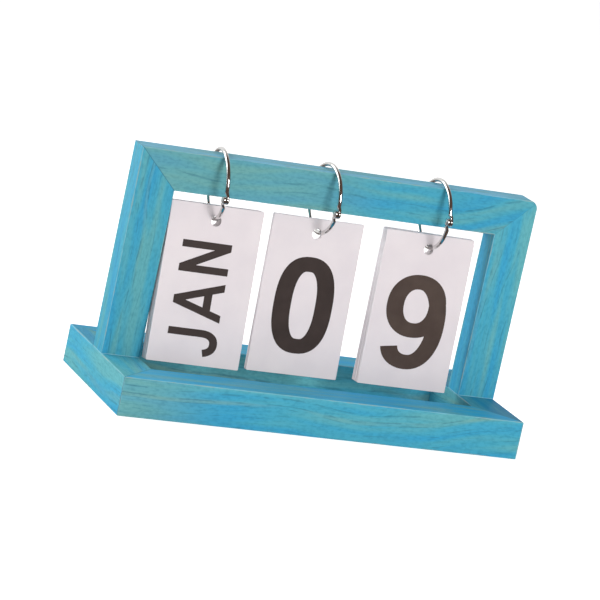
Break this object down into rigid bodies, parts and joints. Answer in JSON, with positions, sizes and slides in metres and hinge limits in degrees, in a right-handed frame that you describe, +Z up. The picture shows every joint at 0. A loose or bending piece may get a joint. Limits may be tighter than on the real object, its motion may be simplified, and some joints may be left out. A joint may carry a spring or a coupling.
{
  "type": "perpetual desk calendar",
  "caption": "Free-standing wooden stand with an upright frame, whose top rail carries hinged rings of flip cards for the month and the day's two digits.",
  "frame": {"origin": "middle of the stand's underside, on the table", "axes": "+X along the stand, to the right of a reader; the cards face -Y; +Z up"},
  "size_m": [0.2, 0.086, 0.12],
  "materials": {
    "stained_wood": "matt blue stain, rubbed",
    "screw_steel": "bright zinc",
    "ring_chrome": "polished plating",
    "printed_card": "smooth board, printed"
  },
  "bodies": {
    "stand": {"base_front_rail": "stained_wood", "base_rear_rail": "stained_wood", "base_left_rail": "stained_wood", "base_right_rail": "stained_wood", "left_stile": "stained_wood", "top_rail": "stained_wood", "right_stile": "stained_wood", "frame_screws": "screw_steel"},
    "month_ring_lower": {"month_ring_lower": "ring_chrome", "month_ring_rivet": "ring_chrome"},
    "month_ring_upper": {"month_ring_upper": "ring_chrome"},
    "month_card_dec": {"month_card_dec": "printed_card"},
    "month_card_nov": {"month_card_nov": "printed_card"},
    "month_card_oct": {"month_card_oct": "printed_card"},
    "month_card_sep": {"month_card_sep": "printed_card"},
    "month_card_aug": {"month_card_aug": "printed_card"},
    "month_card_jul": {"month_card_jul": "printed_card"},
    "month_card_jun": {"month_card_jun": "printed_card"},
    "month_card_may": {"month_card_may": "printed_card"},
    "month_card_apr": {"month_card_apr": "printed_card"},
    "month_card_mar": {"month_card_mar": "printed_card"},
    "month_card_feb": {"month_card_feb": "printed_card"},
    "month_card_jan": {"month_card_jan": "printed_card"},
    "tens_ring_lower": {"tens_ring_lower": "ring_chrome", "tens_ring_rivet": "ring_chrome"},
    "tens_ring_upper": {"tens_ring_upper": "ring_chrome"},
    "tens_card_3": {"tens_card_3": "printed_card"},
    "tens_card_2": {"tens_card_2": "printed_card"},
    "tens_card_1": {"tens_card_1": "printed_card"},
    "tens_card_0": {"tens_card_0": "printed_card"},
    "units_ring_lower": {"units_ring_lower": "ring_chrome", "units_ring_rivet": "ring_chrome"},
    "units_ring_upper": {"units_ring_upper": "ring_chrome"},
    "units_card_8": {"units_card_8": "printed_card"},
    "units_card_7": {"units_card_7": "printed_card"},
    "units_card_6": {"units_card_6": "printed_card"},
    "units_card_5": {"units_card_5": "printed_card"},
    "units_card_4": {"units_card_4": "printed_card"},
    "units_card_3": {"units_card_3": "printed_card"},
    "units_card_2": {"units_card_2": "printed_card"},
    "units_card_1": {"units_card_1": "printed_card"},
    "units_card_0": {"units_card_0": "printed_card"},
    "units_card_9": {"units_card_9": "printed_card"}
  },
  "joints": [
    {"name": "month_ring_turn", "type": "hinge", "parent": "stand", "child": "month_ring_lower", "pos_m": [-0.0587, 0, 0.10289], "axis": [-0.9962, 0.0644, -0.0593], "range_deg": [-20, 20]},
    {"name": "month_ring_open", "type": "hinge", "parent": "month_ring_lower", "child": "month_ring_upper", "pos_m": [-0.05946, -0.01558, 0.09872], "axis": [-0.9962, 0.0644, -0.0593], "range_deg": [-70, 0]},
    {"name": "month_card_dec_swing", "type": "hinge", "parent": "stand", "child": "month_card_dec", "pos_m": [-0.0587, 0, 0.10289], "axis": [-0.9962, 0.0644, -0.0593], "range_deg": [-17, 8]},
    {"name": "month_card_nov_swing", "type": "hinge", "parent": "month_card_dec", "child": "month_card_nov", "pos_m": [-0.0587, 0, 0.10289], "axis": [-0.9962, 0.0644, -0.0593], "range_deg": [0, 1.2]},
    {"name": "month_card_oct_swing", "type": "hinge", "parent": "month_card_nov", "child": "month_card_oct", "pos_m": [-0.0587, 0, 0.10289], "axis": [-0.9962, 0.0644, -0.0593], "range_deg": [0, 1.2]},
    {"name": "month_card_sep_swing", "type": "hinge", "parent": "month_card_oct", "child": "month_card_sep", "pos_m": [-0.0587, 0, 0.10289], "axis": [-0.9962, 0.0644, -0.0593], "range_deg": [0, 1.2]},
    {"name": "month_card_aug_swing", "type": "hinge", "parent": "month_card_sep", "child": "month_card_aug", "pos_m": [-0.0587, 0, 0.10289], "axis": [-0.9962, 0.0644, -0.0593], "range_deg": [0, 1.2]},
    {"name": "month_card_jul_swing", "type": "hinge", "parent": "month_card_aug", "child": "month_card_jul", "pos_m": [-0.0587, 0, 0.10289], "axis": [-0.9962, 0.0644, -0.0593], "range_deg": [0, 1.2]},
    {"name": "month_card_jun_swing", "type": "hinge", "parent": "month_card_jul", "child": "month_card_jun", "pos_m": [-0.0587, 0, 0.10289], "axis": [-0.9962, 0.0644, -0.0593], "range_deg": [0, 1.2]},
    {"name": "month_card_may_swing", "type": "hinge", "parent": "month_card_jun", "child": "month_card_may", "pos_m": [-0.0587, 0, 0.10289], "axis": [-0.9962, 0.0644, -0.0593], "range_deg": [0, 1.2]},
    {"name": "month_card_apr_swing", "type": "hinge", "parent": "month_card_may", "child": "month_card_apr", "pos_m": [-0.0587, 0, 0.10289], "axis": [-0.9962, 0.0644, -0.0593], "range_deg": [0, 1.2]},
    {"name": "month_card_mar_swing", "type": "hinge", "parent": "month_card_apr", "child": "month_card_mar", "pos_m": [-0.0587, 0, 0.10289], "axis": [-0.9962, 0.0644, -0.0593], "range_deg": [0, 1.2]},
    {"name": "month_card_feb_swing", "type": "hinge", "parent": "month_card_mar", "child": "month_card_feb", "pos_m": [-0.0587, 0, 0.10289], "axis": [-0.9962, 0.0644, -0.0593], "range_deg": [0, 1.2]},
    {"name": "month_card_jan_swing", "type": "hinge", "parent": "month_card_feb", "child": "month_card_jan", "pos_m": [-0.0587, 0, 0.10289], "axis": [-0.9962, 0.0644, -0.0593], "range_deg": [0, 45]},
    {"name": "tens_ring_turn", "type": "hinge", "parent": "stand", "child": "tens_ring_lower", "pos_m": [-0.0053, 0, 0.10289], "axis": [-0.9976, -0.0698, 0.0035], "range_deg": [-20, 20]},
    {"name": "tens_ring_open", "type": "hinge", "parent": "tens_ring_lower", "child": "tens_ring_upper", "pos_m": [-0.00421, -0.01569, 0.09926], "axis": [-0.9976, -0.0698, 0.0035], "range_deg": [-70, 0]},
    {"name": "tens_card_3_swing", "type": "hinge", "parent": "stand", "child": "tens_card_3", "pos_m": [-0.0053, 0, 0.10289], "axis": [-0.9976, -0.0698, 0.0035], "range_deg": [-14.5, 8]},
    {"name": "tens_card_2_swing", "type": "hinge", "parent": "tens_card_3", "child": "tens_card_2", "pos_m": [-0.0053, 0, 0.10289], "axis": [-0.9976, -0.0698, 0.0035], "range_deg": [0, 4]},
    {"name": "tens_card_1_swing", "type": "hinge", "parent": "tens_card_2", "child": "tens_card_1", "pos_m": [-0.0053, 0, 0.10289], "axis": [-0.9976, -0.0698, 0.0035], "range_deg": [0, 4]},
    {"name": "tens_card_0_swing", "type": "hinge", "parent": "tens_card_1", "child": "tens_card_0", "pos_m": [-0.0053, 0, 0.10289], "axis": [-0.9976, -0.0698, 0.0035], "range_deg": [0, 57]},
    {"name": "units_ring_turn", "type": "hinge", "parent": "stand", "child": "units_ring_lower", "pos_m": [0.05125, 0, 0.10289], "axis": [-0.999, -0.0436, -0.014], "range_deg": [-20, 20]},
    {"name": "units_ring_open", "type": "hinge", "parent": "units_ring_lower", "child": "units_ring_upper", "pos_m": [0.05195, -0.01613, 0.10289], "axis": [-0.999, -0.0436, -0.014], "range_deg": [-70, 0]},
    {"name": "units_card_8_swing", "type": "hinge", "parent": "stand", "child": "units_card_8", "pos_m": [0.05125, 0, 0.10289], "axis": [-0.999, -0.0436, -0.014], "range_deg": [-13.5, 8]},
    {"name": "units_card_7_swing", "type": "hinge", "parent": "units_card_8", "child": "units_card_7", "pos_m": [0.05125, 0, 0.10289], "axis": [-0.999, -0.0436, -0.014], "range_deg": [0, 1.5]},
    {"name": "units_card_6_swing", "type": "hinge", "parent": "units_card_7", "child": "units_card_6", "pos_m": [0.05125, 0, 0.10289], "axis": [-0.999, -0.0436, -0.014], "range_deg": [0, 1.5]},
    {"name": "units_card_5_swing", "type": "hinge", "parent": "units_card_6", "child": "units_card_5", "pos_m": [0.05125, 0, 0.10289], "axis": [-0.999, -0.0436, -0.014], "range_deg": [0, 1.5]},
    {"name": "units_card_4_swing", "type": "hinge", "parent": "units_card_5", "child": "units_card_4", "pos_m": [0.05125, 0, 0.10289], "axis": [-0.999, -0.0436, -0.014], "range_deg": [0, 1.5]},
    {"name": "units_card_3_swing", "type": "hinge", "parent": "units_card_4", "child": "units_card_3", "pos_m": [0.05125, 0, 0.10289], "axis": [-0.999, -0.0436, -0.014], "range_deg": [0, 1.5]},
    {"name": "units_card_2_swing", "type": "hinge", "parent": "units_card_3", "child": "units_card_2", "pos_m": [0.05125, 0, 0.10289], "axis": [-0.999, -0.0436, -0.014], "range_deg": [0, 1.5]},
    {"name": "units_card_1_swing", "type": "hinge", "parent": "units_card_2", "child": "units_card_1", "pos_m": [0.05125, 0, 0.10289], "axis": [-0.999, -0.0436, -0.014], "range_deg": [0, 1.5]},
    {"name": "units_card_0_swing", "type": "hinge", "parent": "units_card_1", "child": "units_card_0", "pos_m": [0.05125, 0, 0.10289], "axis": [-0.999, -0.0436, -0.014], "range_deg": [0, 1.5]},
    {"name": "units_card_9_swing", "type": "hinge", "parent": "units_card_0", "child": "units_card_9", "pos_m": [0.05125, 0, 0.10289], "axis": [-0.999, -0.0436, -0.014], "range_deg": [0, 65]}
  ]
}
